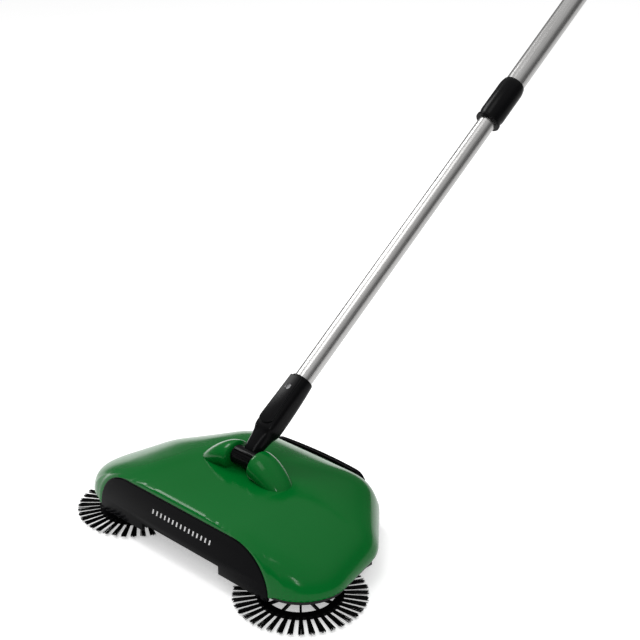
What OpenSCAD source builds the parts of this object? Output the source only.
// Push carpet sweeper: geared disc brushes at the front corners, a driven roller
// brush, a slide-out dust bin and a tilting telescopic handle.
// The front faces -Y, +Z is up and the floor is z = 0 under the middle of the body.

/* [Brushes] */
// Distance from the centre line to each disc brush axis
disc_x = 109; // [105:1:112]
// Distance that the disc axes stand in front of the body's centre
disc_y = 60; // [56:1:64]
// Radius over the bristle tips of a disc brush
disc_tip_r = 60; // [54:1:61]
// Outer radius of the ring that holds the disc bristles
disc_ring_r = 38; // [35:1:42]
// Radial width of that ring
disc_ring_w = 7; // [5.5:0.5:10]
// Number of bristle tufts round a disc brush
disc_tufts = 40; // [24:1:44]
// Number of spokes in a disc brush
disc_spokes = 12; // [6:1:12]
// Length of the roller brush
roller_len = 148; // [130:1:150]
// Radius of the roller's core
roller_core_r = 10; // [8:0.5:13]

/* [Shell] */
// Wall of the top shell
shell_wall = 2.8; // [2:0.1:3.5]
// Height of the shell's lower edge above the floor
shell_base_z = 17; // [15:0.5:18]
// Height of the front panel's top edge
panel_top_z = 62.5; // [58:0.5:63]
// Half width of the front panel
panel_half_w = 112; // [104:1:114]
// Radius of the front panel's two upper corners
panel_corner_r = 41; // [30:1:44]
// Thickness of the front panel
panel_t = 3.5; // [3:0.5:5]
// Half width of the debris inlet under the front panel
inlet_half_w = 51; // [42:1:54]
// Height of the debris inlet
inlet_h = 24; // [22:0.5:26]

/* [Wheels and drive] */
// Rolling radius of the drive wheels
wheel_r = 22; // [21.5:0.1:23]
// Thickness of the drive wheels' tyres
tyre_t = 2.8; // [2.2:0.1:3]
// Distance that the drive axle lies behind the body's centre
axle_y = 20; // [19:0.5:22]
// Radius of the steel drive axle
axle_r = 3; // [2.5:0.1:3.5]
// Inner face of each drive wheel, from the centre line
wheel_in_x = 85; // [84:0.5:87]
// Rolling radius of the small rear wheels
rear_wheel_r = 8; // [7:0.5:9]
// Teeth on each drive wheel's crown gear
wheel_teeth = 32; // [32]
// Teeth on each pinion
pinion_teeth = 14; // [14]
// Teeth on each disc brush's crown gear
disc_teeth = 28; // [28]

/* [Dust bin] */
// Half width of the dust bin
bin_half_w = 60; // [56:1:69]
// Height of the bin's rear panel above the floor
bin_top_z = 46; // [43:0.5:47]
// Wall of the dust bin
bin_wall = 2; // [1.6:0.1:2.5]

/* [Handle] */
// Lean of the handle back from upright, as it stands
pole_lean = 53.7; // [20:0.1:58]
// Height of the handle's pivot
pivot_z = 77.5; // [76:0.5:80]
// Distance that the pivot lies in front of the body's centre
pivot_y = 18.5; // [17:0.5:20]
// Radius of the pivot barrel
barrel_r = 9; // [8:0.5:10]
// Half of the gap between the two pivot bosses
gap_half = 13; // [12.5:0.5:15]
// Length of the socket above the pivot
socket_len = 92; // [80:1:110]
// Outer radius of the lower tube
tube_r = 9.2; // [8.4:0.1:9.6]
// Outer radius of the upper tube
upper_r = 10.6; // [10.4:0.1:11.6]
// Wall of both tubes
tube_wall = 0.8; // [0.8:0.1:1.2]
// Lower tube's bare length between the socket and the collar
bare_len = 334; // [280:2:400]
// Length of the twist collar
collar_len = 54; // [45:1:70]
// Outer radius of the twist collar
collar_r = 13.4; // [13:0.1:16]
// Length of the upper tube
upper_len = 310; // [280:5:380]
// Length of the lower tube that stays hidden in the upper one
hidden_len = 110; // [90:5:140]
// Length of the hand grip
grip_len = 118; // [100:1:130]
// Wall of the hand grip
grip_wall = 1.5; // [1.2:0.1:3]

/* [Hidden] */
$fn = 64;

run_gap = 0.05;                 // radial clearance of a running fit
seat_gap = 0.3;                 // gap between pieces that only lie side by side
eps = 0.01;

front_y = disc_y + 42;          // front face of the body

// the shell's skin from its lower edge to its crown: a height, then four circles as
// [x, y, radius], mirrored about x = 0: lobe, flank, rear corner and tail
function lobe(x, r) = [x, r - front_y, r];
skin_rows = [
    [shell_base_z, lobe(disc_x, 44), [disc_x - 12, -12, 45], [disc_x - 45, 43, 34.5],
        [18, 20, 60]],
    [33, lobe(disc_x - 0.5, 43.5), [disc_x - 12, -13, 44], [disc_x - 46, 42, 34], [18, 18, 60]],
    [41, lobe(disc_x - 5, 42), [disc_x - 16, -14, 43], [disc_x - 48, 40, 33], [18, 16, 60]],
    [47, lobe(disc_x - 11, 34), [disc_x - 21, -15, 38], [disc_x - 52, 37, 34], [18, 12, 60]],
    [53, lobe(disc_x - 19, 27), [disc_x - 29, -16, 32], [disc_x - 54, 34, 30], [15, 8, 56]],
    [59, lobe(disc_x - 32, 22), [disc_x - 43, -17, 29], [disc_x - 60, 24, 28], [12, 4, 48]],
    [63.5, lobe(disc_x - 49, 18), [disc_x - 61, -18, 25], [disc_x - 72, 12, 26], [8, 2, 36]],
    [67.5, lobe(26, 50), [24, -20, 22], [14, 0, 20], [0, 0, 20]]];

panel_back = panel_t - 1 - front_y;  // the panel's inner face
plate_z = shell_base_z + 0.5;   // underside of the base's side plates
plate_t = 2.5;                  // thickness of the base's plates and walls
plate_inset = shell_wall + 1;   // clears the shell's wall, which leans in as it rises
roof_z = inlet_h;               // underside of the inlet's roof
axle_z = wheel_r;
roller_tip_r = wheel_r - 0.6;

// face gears: the pinion's axis meets the crown's axis, and its teeth reach the crown's
module_mm = 1;                  // pitch diameter over teeth
crown_r = wheel_teeth * module_mm / 2;
pinion_r = pinion_teeth * module_mm / 2;
disc_crown_r = disc_teeth * module_mm / 2;
pinion_w = 4;                   // pinion face width
tooth_add = 0.6;                // pinion tooth above its pitch radius
tooth_ded = 0.9;                // pinion tooth below its pitch radius
crown_add = 0.4;                // crown tooth above the pitch plane
crown_root = 1.4;               // crown tooth's root below the pitch plane
tooth_t = 0.8;                  // tooth thickness at the pitch line
shaft_r = 2.5;
wheel_face_x = disc_x - pinion_r - crown_root;
axle_end_x = wheel_face_x + 3.5;
disc_face_z = axle_z - pinion_r - crown_root;
rear_pinion_y = axle_y - crown_r;
front_pinion_y = -disc_y + disc_crown_r;
shaft_y0 = front_pinion_y - pinion_w / 2 - 2;
shaft_y1 = rear_pinion_y + pinion_w / 2 + 2;
hub_hole_r = disc_crown_r + 5;
stud_r = 3;

side_x = disc_x - 31;           // inner face of the base's bearing walls
wall_x = side_x + 3.5;          // and their outer face
bush_r = 5;
rear_x = side_x + 1;            // rear wheels' middle
rear_y = 66;
rear_w = 6;
rear_pin_r = 1.5;
bin_y0 = axle_y + wheel_r + 4;  // front edge of the bin
bin_y1 = 72;
bin_proud = 1.5;                // how far the bin's rear panel stands out of the body
bin_z0 = 8;
bin_bay = bin_half_w + 3;       // half width of the bay in the body
lip_bar_y = bin_y0 - 4.5;       // cross bar that the scoop lip sits on
lip_bar_z = 4.5;

screw_r = 1.5;
screw_head_r = 3;
screw_head_h = 2;
case_spots = [[disc_x - 69, -92], [disc_x + 20, -24], [disc_x - 16, 51]];
post_r = 4;
bracket_y0 = -pivot_y - 15;      // front edge of the bracket's feet
bracket_len = 28;
bracket_spots = [[30, bracket_y0 + 5], [30, bracket_y0 + bracket_len - 5]];

socket_seat = tube_r + 0.9;      // seat of the socket screw's head, from the tube's axis
socket_y0 = 34;                 // local height where the tube starts in the socket
collar_z0 = socket_len + bare_len;
upper_z0 = collar_z0 + 20;
lower_top = upper_z0 + hidden_len;
grip_z0 = upper_z0 + upper_len - grip_len + 6;
plug_len = 24;

module both() { children(); mirror([1, 0, 0]) children(); }
module side(s) { if (s < 0) mirror([1, 0, 0]) children(); else children(); }
module at_pivot() { translate([0, -pivot_y, pivot_z]) rotate([-pole_lean, 0, 0]) children(); }
module along_x(x, y, z) { translate([x, y, z]) rotate([0, 90, 0]) children(); }
module along_y(x, y, z) { translate([x, y, z]) rotate([-90, 0, 0]) children(); }

// flat outline of the body, drawn in by a margin
module plan(inset) {
    hull() both() for (k = [1:4]) let (c = skin_rows[0][k])
        translate([c[0], c[1]]) circle(r = c[2] - inset, $fn = 96);
}

// solid body of the shell, drawn in by a margin on every side
module skin(inset) {
    hull() both() for (row = skin_rows) for (k = [1:4]) let (c = row[k])
        translate([c[0], c[1], row[0] - inset]) cylinder(r = c[2] - inset, h = eps, $fn = 40);
}

// one pivot boss: a half dome beside the gap that fairs out along the shell
module boss(inset) {
    hull() {
        translate([gap_half + 5, -pivot_y, pivot_z]) sphere(r = 12.5 - inset, $fn = 32);
        translate([gap_half + 20, -pivot_y - 1, pivot_z - 7]) sphere(r = 11 - inset, $fn = 32);
        translate([gap_half + 38, -pivot_y - 3, pivot_z - 17]) sphere(r = 8 - inset, $fn = 32);
        translate([gap_half + 6, -pivot_y, pivot_z - 22]) sphere(r = 12.5 - inset, $fn = 32);
    }
}

// outline of the front panel in x and z, grown by a margin
module panel_outline(grow) {
    corner_x = panel_half_w - panel_corner_r;
    corner_z = panel_top_z - panel_corner_r;
    foot_z = shell_base_z - 1 - grow;
    both() {
        // rounded upper corner, which runs down into the lobe's foot
        intersection() {
            translate([corner_x, corner_z]) circle(r = panel_corner_r + grow, $fn = 96);
            translate([corner_x - 4, corner_z - 3]) square([200, 200]);
        }
        translate([inlet_half_w - grow, foot_z])
            square([panel_half_w + 2 * grow - inlet_half_w, corner_z - foot_z]);
        translate([inlet_half_w - grow, foot_z])
            square([corner_x + 2 - inlet_half_w, roof_z + 4 - foot_z]);
    }
    // middle, above the inlet
    translate([-corner_x, roof_z - grow])
        square([2 * corner_x, panel_top_z - roof_z + 2 * grow]);
}

module base() {
    color([0.06, 0.06, 0.07]) union() {
        base_pan();
        lip_bar();
    }
}

module base_pan() {
    roof_y0 = panel_back + 2;
    roof_y1 = axle_y - wheel_r - 3;
    difference() {
        union() {
            // plate inside the shell's lower edge
            translate([0, 0, plate_z]) linear_extrude(plate_t) plan(plate_inset);
            // the inlet's roof, with its two side walls and its rear wall
            translate([-inlet_half_w - plate_t, roof_y0, roof_z])
                cube([2 * (inlet_half_w + plate_t), roof_y1 - roof_y0, plate_t]);
            both() translate([inlet_half_w, roof_y0, plate_z])
                cube([plate_t, roof_y1 - roof_y0, roof_z - plate_z + plate_t]);
            translate([-wall_x, roof_y1 - plate_t, plate_z])
                cube([2 * wall_x, plate_t, roof_z - plate_z + plate_t]);
            // bearing walls beside the roller
            both() translate([side_x, roof_y1 - plate_t, axle_z - 9])
                cube([3.5, bin_y0 + 3 - roof_y1 + plate_t, 18]);
            both() {
                shaft_blocks();
                stud_bridge();
                bin_rail();
                rear_lugs();
                side_clip();
                // pad for a foot of the pivot bracket
                translate([23, bracket_y0, roof_z]) cube([14, bracket_len, plate_t + 3]);
            }
        }
        // behind the front panel
        translate([-200, -front_y - 50, 0]) cube([400, 50 + panel_back + front_y + seat_gap, 100]);
        // debris channel through the plate
        translate([-inlet_half_w, -front_y - 1, plate_z - 1])
            cube([2 * inlet_half_w, front_y + 1 + roof_y1 - plate_t, roof_z - plate_z + 1]);
        // roller bay, open below and behind
        translate([-side_x, roof_y1, plate_z - 10]) cube([2 * side_x, bin_y0 - roof_y1 + 4, 60]);
        both() {
            // wheel bay and, beside it, the rear pinion's slot
            translate([wall_x, roof_y1, plate_z - 1])
                cube([axle_end_x + 1 - wall_x, 2 * wheel_r + 6, plate_t + 2]);
            translate([disc_x - pinion_r - 2, rear_pinion_y - 4, plate_z - 1])
                cube([2 * pinion_r + 4, 8, plate_t + 2]);
            // opening for the crown gear of the disc brush
            translate([disc_x, -disc_y, plate_z - 1]) difference() {
                cylinder(r = hub_hole_r, h = plate_t + 2);
                translate([-8, -40, -5]) cube([16, 47, 20]);
            }
            translate([disc_x, -disc_y, 0]) cylinder(r = disc_crown_r + 4, h = disc_face_z + 3);
            // bores for the side shaft, the stud and the rear wheel's pin
            along_y(disc_x, shaft_y0 - 4, axle_z)
                cylinder(r = shaft_r + run_gap, h = shaft_y1 - shaft_y0 + 8);
            translate([disc_x, -disc_y, 0]) cylinder(r = stud_r, h = 40);
            along_x(rear_x - 8, rear_y, rear_wheel_r) cylinder(r = rear_pin_r, h = 16);
            // screw holes
            for (p = case_spots) translate([p[0], p[1], 0]) cylinder(r = screw_r + 0.2, h = 40);
            for (p = bracket_spots) translate([p[0], p[1], roof_z + 1])
                cylinder(r = screw_r, h = 40);
            // bay for the rear wheel
            translate([rear_x - rear_w / 2 - 0.6, rear_y - rear_wheel_r - 1.5, 0])
                cube([rear_w + 1.2, 2 * rear_wheel_r + 3, plate_z + plate_t + 1]);
        }
        // bin bay
        translate([-bin_half_w - seat_gap, bin_y0, plate_z - 1])
            cube([2 * (bin_half_w + seat_gap), 60, plate_t + 2]);
        translate([-bin_bay - seat_gap, bin_y1 - seat_gap, plate_z - 1])
            cube([2 * (bin_bay + seat_gap), 60, plate_t + 2]);
        // bores for the axle bushes
        along_x(-side_x - 5, axle_y, axle_z) cylinder(r = bush_r + 0.02, h = 2 * side_x + 10);
    }
}

// bar across the bay behind the roller, hung from the bearing walls
module lip_bar() {
    translate([-wall_x, lip_bar_y, lip_bar_z - plate_t]) cube([2 * wall_x, 4, plate_t]);
    both() translate([side_x, lip_bar_y - 3, lip_bar_z - plate_t])
        cube([wall_x - side_x, 10, axle_z - lip_bar_z]);
}

// two blocks that carry a side shaft
module shaft_blocks() {
    for (y = [rear_pinion_y - 13, front_pinion_y + 7])
        translate([disc_x - 6, y, plate_z]) cube([12, 4, axle_z - plate_z + 6]);
}

// arm over a disc brush's hub that holds its stud
module stud_bridge() {
    translate([disc_x - 8, -disc_y - 32, disc_face_z + 3]) cube([16, 39, 6]);
}

// rail that a flange of the dust bin runs on
module bin_rail() {
    rail_y = bin_y0 + 0.5;
    rail_len = bin_y1 - 1 - rail_y;    // ends short of the bin's rear panel
    translate([bin_half_w + seat_gap, rail_y, bin_z0 - seat_gap]) cube([plate_t, rail_len, 24]);
    translate([bin_half_w - 3, rail_y, bin_z0 - seat_gap - 2])
        cube([3 + seat_gap + plate_t, rail_len, 2.02]);
}

// lugs that hold a rear wheel's pin, each on a neck that passes inside the shell's edge
module rear_lugs() {
    lug_z = rear_wheel_r - 3;
    for (x = [rear_x - rear_w / 2 - 3, rear_x + rear_w / 2 + 0.5]) translate([x, rear_y - 4, lug_z]) {
        cube([2.5, 8, shell_base_z - seat_gap - lug_z]);
        cube([2.5, 2, plate_z + 1 - lug_z]);
    }
}

// catch under the shell's lower edge on each flank
module side_clip() {
    translate([disc_x + 17, -2, shell_base_z - 7]) cube([5, 10, plate_z + plate_t - shell_base_z + 7]);
}

module top_shell() {
    color([0, 0.42, 0.12]) difference() {
        union() {
            difference() {
                union() {
                    skin(0);
                    both() boss(0);
                }
                // hollow inside, under the skin and under both bosses
                skin(shell_wall);
                both() boss(shell_wall);
                translate([0, 0, -1]) linear_extrude(shell_base_z + 1.05) plan(shell_wall);
            }
            // screw posts, cut to the inside of the skin
            intersection() {
                union() {
                    skin(shell_wall / 2);
                    translate([0, 0, plate_z]) linear_extrude(5) plan(shell_wall / 2);
                }
                both() for (p = case_spots)
                    translate([p[0], p[1], (p[1] < -80 ? roof_z : plate_z) + plate_t + 0.05])
                        cylinder(r = post_r, h = 80, $fn = 32);
            }
        }
        // gap for the handle's barrel, run back for the socket to lean in
        translate([-gap_half, -pivot_y - barrel_r - 1.5, pivot_z - barrel_r - 3])
            cube([2 * gap_half, 2 * barrel_r + 3, 40]);
        translate([-gap_half, -pivot_y, pivot_z - 7]) cube([2 * gap_half, 40, 30]);
        // window for the front panel
        translate([0, -front_y + shell_wall + 2, 0]) rotate([90, 0, 0])
            linear_extrude(shell_wall + 6) panel_outline(seat_gap);
        translate([-inlet_half_w - seat_gap, -front_y - 5, 0])
            cube([2 * (inlet_half_w + seat_gap), 12, roof_z]);
        // bay for the dust bin
        translate([-bin_bay, 60, 0]) cube([2 * bin_bay, 60, bin_top_z + seat_gap]);
        // pilot holes in the posts
        both() for (p = case_spots) translate([p[0], p[1], 0])
            cylinder(r = screw_r, h = (p[1] < -80 ? roof_z : plate_z) + 14, $fn = 32);
    }
}

module front_panel() {
    color([0.04, 0.04, 0.05]) difference() {
        translate([0, panel_back, 0]) rotate([90, 0, 0])
            linear_extrude(panel_t) panel_outline(0);
        // rebate behind the raised face
        translate([-60, panel_back - 1.5, roof_z + 8]) cube([120, 2, 22]);
    }
}

// pivot bracket: a foot on each pad, joined by a bridge, with two ears inside the bosses
module pivot_bracket() {
    pad_z = roof_z + plate_t + 3;
    color([0.08, 0.08, 0.09]) difference() {
        union() {
            both() {
                translate([gap_half + 3, bracket_y0, pad_z]) cube([34 - gap_half, bracket_len, 3]);
                translate([gap_half + 3, -pivot_y - 7, pad_z]) cube([5, 14, pivot_z - pad_z]);
                along_x(gap_half + 3, -pivot_y, pivot_z) cylinder(r = 7, h = 5);
            }
            translate([-gap_half - 4, -pivot_y - 7, pad_z]) cube([2 * gap_half + 8, 14, 3]);
        }
        along_x(-gap_half - 9, -pivot_y, pivot_z)
            cylinder(r = 3.5 + run_gap, h = 2 * gap_half + 18);
        both() for (p = bracket_spots) translate([p[0], p[1], pad_z - 1])
            cylinder(r = screw_r + 0.2, h = 6);
    }
}

module pivot_pin() {
    color([0.75, 0.75, 0.76]) along_x(-gap_half - 8.5, -pivot_y, pivot_z)
        cylinder(r = 3.5, h = 2 * gap_half + 17);
}

// arched cover over the roller brush
module roller_hood() {
    color([0.14, 0.14, 0.15]) difference() {
        along_x(-side_x, axle_y, axle_z) cylinder(r = wheel_r + 2.6, h = 2 * side_x);
        along_x(-side_x + 2, axle_y, axle_z) cylinder(r = wheel_r + 1, h = 2 * side_x - 4);
        along_x(-side_x - 2, axle_y, axle_z) cylinder(r = 6, h = 2 * side_x + 4);
        translate([-100, axle_y - 60, -20]) cube([200, 120, axle_z - 5.5 + 20]);
        translate([-100, axle_y + 2, -20]) cube([200, 60, axle_z + 14 + 20]);
    }
}

// soft blade on the cross bar that leads the dust up into the bin
module scoop_lip() {
    color([0.18, 0.18, 0.19]) rotate([90, 0, 90]) translate([0, 0, -bin_half_w + 3])
        linear_extrude(2 * bin_half_w - 6)
            polygon([[lip_bar_y - 7, 0.8], [lip_bar_y, lip_bar_z], [lip_bar_y + 4, lip_bar_z],
                [lip_bar_y + 4, 7.8], [lip_bar_y + 2, 7.8], [lip_bar_y - 7, 2.2]]);
}

// screw with its head's seat at z0, pointing up
module pan_screw(z0, length) {
    translate([0, 0, z0 - 1]) cylinder(r = screw_r, h = length + 1, $fn = 24);
    translate([0, 0, z0 - screw_head_h]) cylinder(r = screw_head_r, h = screw_head_h, $fn = 24);
}

module case_screws() {
    color([0.7, 0.7, 0.72]) both() for (p = case_spots) translate([p[0], p[1], 0])
        pan_screw(p[1] < -80 ? roof_z : plate_z, 12);
}

module bracket_screws() {
    color([0.7, 0.7, 0.72]) both() for (p = bracket_spots)
        translate([p[0], p[1], roof_z + plate_t + 6]) mirror([0, 0, 1]) pan_screw(0, 6);
}

module axle_bush(s) {
    color([0.75, 0.6, 0.3]) side(s) along_x(side_x - 0.5, axle_y, axle_z) difference() {
        cylinder(r = bush_r, h = 5);
        translate([0, 0, -1]) cylinder(r = axle_r + run_gap, h = 7);
    }
}

// steel stud with a flange that carries a disc brush
module brush_stud(s) {
    top_z = disc_face_z + 8;
    color([0.72, 0.72, 0.74]) side(s) translate([disc_x, -disc_y, 0]) {
        translate([0, 0, 1.6]) cylinder(r = stud_r, h = top_z - 1.6);
        translate([0, 0, 0.6]) cylinder(r = 5, h = 1.2);
    }
}

module rear_wheel_pins() {
    color([0.72, 0.72, 0.74]) both() along_x(rear_x - 6, rear_y, rear_wheel_r)
        cylinder(r = rear_pin_r, h = 12, $fn = 32);
}

module drive_axle() {
    color([0.72, 0.72, 0.74]) along_x(-axle_end_x, axle_y, axle_z)
        cylinder(r = axle_r, h = 2 * axle_end_x);
}

module roller_core() {
    color([0.16, 0.16, 0.17]) along_x(0, axle_y, axle_z) difference() {
        union() {
            cylinder(r = roller_core_r, h = roller_len, center = true);
            for (e = [-1, 1]) translate([0, 0, e * (roller_len / 2 - 1)])
                cylinder(r = roller_core_r + 3, h = 2, center = true);
        }
        cylinder(r = axle_r, h = roller_len + 2, center = true);
    }
}

// four rows of tufts that wind a quarter turn along the roller
module roller_bristles() {
    rows = 4;
    pitch = 8;
    count = floor((roller_len - 12) / pitch);
    color([0.1, 0.1, 0.11]) along_x(0, axle_y, axle_z)
        for (row = [0:rows - 1]) for (i = [0:count - 1])
            rotate([0, 0, 360 * row / rows + 90 * i / count])
                translate([roller_core_r - 2, -1.4, (i - (count - 1) / 2) * pitch - 2])
                    cube([roller_tip_r - roller_core_r + 1.9, 2.8, 4]);
}

// radial teeth of a crown gear, standing up from z = 0
module crown_teeth(count, pitch_r) {
    for (i = [0:count - 1]) rotate([0, 0, 360 * i / count])
        translate([pitch_r - pinion_w / 2 - 0.5, -tooth_t / 2, -0.2])
            cube([pinion_w + 1, tooth_t, crown_root + crown_add + 0.2]);
}

// pinion blank with a gap facing +X at every tooth pitch
module pinion() {
    root_r = pinion_r - tooth_ded;
    tip_r = pinion_r + tooth_add;
    step = 360 / pinion_teeth;
    half_root = tooth_t * 0.62;
    half_tip = tooth_t * 0.42;
    difference() {
        union() {
            cylinder(r = root_r, h = pinion_w, center = true);
            for (i = [0:pinion_teeth - 1]) rotate([0, 0, (i + 0.5) * step])
                translate([0, 0, -pinion_w / 2]) linear_extrude(pinion_w)
                    polygon([[root_r - 0.4, -half_root], [tip_r, -half_tip],
                        [tip_r, half_tip], [root_r - 0.4, half_root]]);
        }
        cylinder(r = shaft_r, h = pinion_w + 2, center = true);
    }
}

module drive_wheel(s) {
    hub_r = wheel_r - tyre_t;
    color([0.12, 0.12, 0.13]) side(s) along_x(wheel_in_x, axle_y, axle_z) difference() {
        union() {
            cylinder(r = hub_r, h = wheel_face_x - wheel_in_x);
            translate([0, 0, -1.2]) cylinder(r = 6, h = 2);
            translate([0, 0, wheel_face_x - wheel_in_x]) rotate([0, 0, 90])
                crown_teeth(wheel_teeth, crown_r);
        }
        translate([0, 0, -3]) cylinder(r = axle_r, h = 30);
        // hollow in the inner side, round the hub
        translate([0, 0, -1]) difference() {
            cylinder(r = hub_r - 2.2, h = 9);
            cylinder(r = 7, h = 9);
        }
    }
}

module tyre(s) {
    color([0.1, 0.1, 0.1]) side(s) along_x(wheel_in_x, axle_y, axle_z) difference() {
        cylinder(r = wheel_r, h = wheel_face_x - wheel_in_x - 0.6);
        translate([0, 0, -1]) cylinder(r = wheel_r - tyre_t, h = 30);
        for (x = [3.2, 7, 10.8]) translate([0, 0, x]) rotate_extrude()
            translate([wheel_r - 0.7, -0.5]) square([2, 1]);
    }
}

// spring clips in the ends of the axle
module axle_clips() {
    color([0.7, 0.7, 0.72]) both() along_x(wheel_face_x + 1.9, axle_y, axle_z) difference() {
        cylinder(r = 5.2, h = 0.9);
        translate([0, 0, -1]) cylinder(r = axle_r, h = 4);
        translate([0, -1.6, -1]) cube([8, 3.2, 4]);
    }
}

// ring, spokes and hub of a disc brush, with the crown gear on the hub
module brush_disc(s) {
    ring_in = disc_ring_r - disc_ring_w;
    color([0.05, 0.05, 0.06]) side(s) translate([disc_x, -disc_y, 0]) difference() {
        union() {
            difference() {
                translate([0, 0, 2]) cylinder(r = disc_ring_r, h = 3.2, $fn = 128);
                translate([0, 0, 1]) cylinder(r = ring_in, h = 8, $fn = 128);
            }
            for (i = [0:disc_spokes - 1]) rotate([0, 0, 360 * (i + 0.5) / disc_spokes])
                translate([disc_crown_r, -1, 2.4]) cube([ring_in + 1 - disc_crown_r, 2, 2.4]);
            translate([0, 0, 2]) cylinder(r = disc_crown_r + 2, h = disc_face_z - 2);
            translate([0, 0, disc_face_z]) rotate([0, 0, 90])
                crown_teeth(disc_teeth, disc_crown_r);
        }
        translate([0, 0, -1]) cylinder(r = stud_r + run_gap, h = 30);
        translate([0, 0, disc_face_z - 5]) difference() {
            cylinder(r = disc_crown_r - 4, h = 9);
            cylinder(r = 6, h = 9);
        }
    }
}

// tufts that fan out from the ring of a disc brush
module disc_bristles(s) {
    root_r = disc_ring_r - 4;
    color([0.04, 0.04, 0.05]) side(s) translate([disc_x, -disc_y, 2.5])
        for (i = [0:disc_tufts - 1]) rotate([0, 0, 360 * i / disc_tufts])
            linear_extrude(2.2) polygon([[root_r, -1.1], [disc_tip_r, -2.6],
                [disc_tip_r, 2.6], [root_r, 1.1]]);
}

module side_shaft(s) {
    color([0.72, 0.72, 0.74]) side(s) along_y(disc_x, shaft_y0, axle_z)
        cylinder(r = shaft_r, h = shaft_y1 - shaft_y0);
}

// both pinions of a shaft have a tooth gap turned to their crown gear
module rear_pinion(s) {
    color([0.85, 0.85, 0.82]) side(s) along_y(disc_x, rear_pinion_y, axle_z)
        rotate([0, 0, 180]) pinion();
}

module front_pinion(s) {
    color([0.85, 0.85, 0.82]) side(s) along_y(disc_x, front_pinion_y, axle_z)
        rotate([0, 0, 90]) pinion();
}

module rear_wheel(s) {
    color([0.1, 0.1, 0.1]) side(s) along_x(rear_x - rear_w / 2, rear_y, rear_wheel_r)
        difference() {
            cylinder(r = rear_wheel_r, h = rear_w);
            translate([0, 0, -1]) cylinder(r = rear_pin_r + run_gap, h = rear_w + 2);
            for (z = [-eps, rear_w - 1]) translate([0, 0, z]) difference() {
                cylinder(r = rear_wheel_r - 1.8, h = 1 + 2 * eps);
                cylinder(r = 3, h = 1 + 2 * eps);
            }
        }
}

// open tray, with its mouth towards the roller
module dust_bin() {
    depth = bin_y1 - bin_y0;
    height = bin_top_z - 5 - bin_z0;
    color([0.08, 0.08, 0.09]) difference() {
        translate([-bin_half_w, bin_y0, bin_z0]) cube([2 * bin_half_w, depth, height]);
        translate([-bin_half_w + bin_wall, bin_y0 - 1, bin_z0 + bin_wall])
            cube([2 * (bin_half_w - bin_wall), depth + 1 - bin_wall, height]);
    }
}

// curved rear cover of the bin, with a rim along its top and its foot
module bin_panel() {
    bay = bin_bay - seat_gap;
    module rear_band(inset) intersection() {
        difference() { plan(-bin_proud); plan(inset); }
        translate([-bay, bin_y1]) square([2 * bay, 40]);
    }
    color([0.03, 0.03, 0.04]) difference() {
        union() {
            translate([0, 0, bin_z0]) linear_extrude(bin_top_z - bin_z0) rear_band(3);
            translate([0, 0, bin_top_z - 6]) linear_extrude(6) rear_band(30);
            translate([0, 0, bin_z0]) linear_extrude(3) rear_band(30);
        }
        // finger recess below the middle
        translate([-24, bin_y1 + 5, bin_z0 - 1]) cube([48, 20, 12]);
    }
}

// barrel, neck and tapered socket of the handle
module handle_socket() {
    neck_z = 30;
    color([0.05, 0.05, 0.06]) at_pivot() difference() {
        union() {
            along_x(-gap_half + 0.4, 0, 0) cylinder(r = barrel_r, h = 2 * gap_half - 0.8);
            // two ribs along the barrel
            for (a = [84, 116]) rotate([a, 0, 0]) translate([-gap_half + 1, -1, barrel_r - 1])
                cube([2 * gap_half - 2, 2, 1.9]);
            cylinder(r = 10.5, h = neck_z + 2);
            hull() {
                for (x = [-7.5, 7.5]) for (y = [-6.5, 6.5]) translate([x, y, neck_z])
                    cylinder(r = 4.5, h = 8, $fn = 32);
                translate([0, 0, socket_len - 1]) cylinder(r = tube_r + 1.8, h = 1);
            }
        }
        along_x(-gap_half - 1, 0, 0) cylinder(r = 3.5 + run_gap, h = 2 * gap_half + 2);
        translate([0, 0, socket_y0]) cylinder(r = tube_r, h = socket_len);
        along_y(0, -20, socket_len - 16) cylinder(r = screw_r, h = 20, $fn = 32);
        along_y(0, -socket_seat - 10, socket_len - 16)
            cylinder(r = screw_head_r + 0.1, h = 10, $fn = 32);
    }
}

// screw that holds the lower tube in the socket
module socket_screw() {
    color([0.7, 0.7, 0.72]) at_pivot() along_y(0, -socket_seat, socket_len - 16)
        pan_screw(0, 4);
}

module lower_tube() {
    color([0.75, 0.75, 0.76]) at_pivot() difference() {
        translate([0, 0, socket_y0]) cylinder(r = tube_r, h = lower_top - socket_y0);
        translate([0, 0, socket_y0 - 1]) cylinder(r = tube_r - tube_wall, h = lower_top);
        along_y(0, -20, socket_len - 16) cylinder(r = screw_r, h = 20, $fn = 32);
    }
}

// guide in the top end of the lower tube, which slides in the upper one
module tube_plug() {
    color([0.85, 0.85, 0.82]) at_pivot() difference() {
        union() {
            translate([0, 0, lower_top - 14]) cylinder(r = tube_r - tube_wall, h = 16);
            translate([0, 0, lower_top]) cylinder(r = upper_r - tube_wall - run_gap, h = plug_len);
        }
        translate([0, 0, lower_top - 15]) cylinder(r = 4, h = plug_len + 20);
    }
}

// collar that clamps the two tubes when it is twisted
module twist_collar() {
    color([0.05, 0.05, 0.06]) at_pivot() translate([0, 0, collar_z0]) difference() {
        union() {
            cylinder(r = collar_r, h = 3);
            translate([0, 0, 3]) cylinder(r1 = collar_r - 1, r2 = collar_r, h = 4);
            translate([0, 0, 7]) cylinder(r = collar_r, h = collar_len - 12);
            translate([0, 0, collar_len - 5]) cylinder(r1 = collar_r, r2 = collar_r - 1.8, h = 5);
        }
        translate([0, 0, -1]) cylinder(r = tube_r + run_gap, h = 30);
        translate([0, 0, upper_z0 - collar_z0 - 0.2]) cylinder(r = upper_r + run_gap, h = 60);
        for (i = [0:17]) rotate([0, 0, i * 20]) translate([collar_r + 0.5, 0, 11])
            cylinder(r = 1, h = collar_len - 20, $fn = 16);
    }
}

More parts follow.
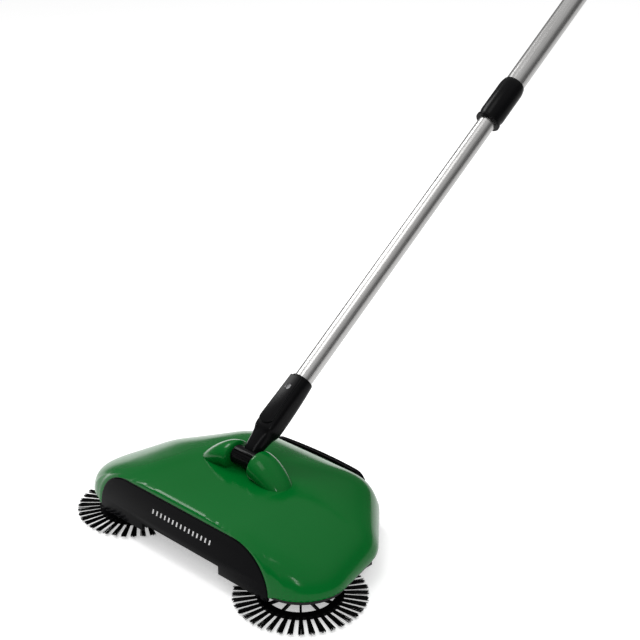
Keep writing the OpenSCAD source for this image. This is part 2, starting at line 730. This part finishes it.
module upper_tube() {
    color([0.75, 0.75, 0.76]) at_pivot() translate([0, 0, upper_z0]) difference() {
        cylinder(r = upper_r, h = upper_len);
        translate([0, 0, -1]) cylinder(r = upper_r - tube_wall, h = upper_len + 2);
    }
}

// plug that closes the top of the upper tube
module tube_end_plug() {
    color([0.2, 0.2, 0.21]) at_pivot() translate([0, 0, upper_z0 + upper_len])
        translate([0, 0, -10]) cylinder(r = upper_r - tube_wall, h = 10);
}

module hand_grip() {
    color([0.07, 0.07, 0.08]) at_pivot() translate([0, 0, grip_z0]) difference() {
        union() {
            cylinder(r = upper_r + grip_wall, h = grip_len);
            for (i = [0:5]) translate([0, 0, 12 + i * 17])
                cylinder(r = upper_r + grip_wall + 0.7, h = 7);
        }
        translate([0, 0, -1]) cylinder(r = upper_r, h = grip_len - 5);
    }
}

// flat loop at the end of the grip, to hang the sweeper by
module hang_loop() {
    color([0.07, 0.07, 0.08]) at_pivot() translate([0, 0, grip_z0 + grip_len + 0.02])
        difference() {
            union() {
                cylinder(r = upper_r + grip_wall, h = 6);
                translate([-3, -9, 5]) cube([6, 18, 14]);
                along_x(-3, 0, 19) cylinder(r = 9, h = 6);
            }
            along_x(-5, 0, 19) cylinder(r = 5, h = 10);
        }
}

base();
top_shell();
front_panel();
pivot_bracket();
pivot_pin();
roller_hood();
scoop_lip();
case_screws();
bracket_screws();
axle_bush(-1);  // axle_bush_left
axle_bush(1);  // axle_bush_right
brush_stud(-1);  // brush_stud_left
brush_stud(1);  // brush_stud_right
rear_wheel_pins();
drive_axle();
roller_core();
roller_bristles();
drive_wheel(-1);  // drive_wheel_left
drive_wheel(1);  // drive_wheel_right
tyre(-1);  // tyre_left
tyre(1);  // tyre_right
axle_clips();
brush_disc(-1);  // brush_disc_left
brush_disc(1);  // brush_disc_right
disc_bristles(-1);  // disc_bristles_left
disc_bristles(1);  // disc_bristles_right
side_shaft(-1);  // side_shaft_left
side_shaft(1);  // side_shaft_right
rear_pinion(-1);  // rear_pinion_left
rear_pinion(1);  // rear_pinion_right
front_pinion(-1);  // front_pinion_left
front_pinion(1);  // front_pinion_right
rear_wheel(-1);  // rear_wheel_left
rear_wheel(1);  // rear_wheel_right
dust_bin();
bin_panel();
handle_socket();
socket_screw();
lower_tube();
tube_plug();
twist_collar();
upper_tube();
tube_end_plug();
hand_grip();
hang_loop();
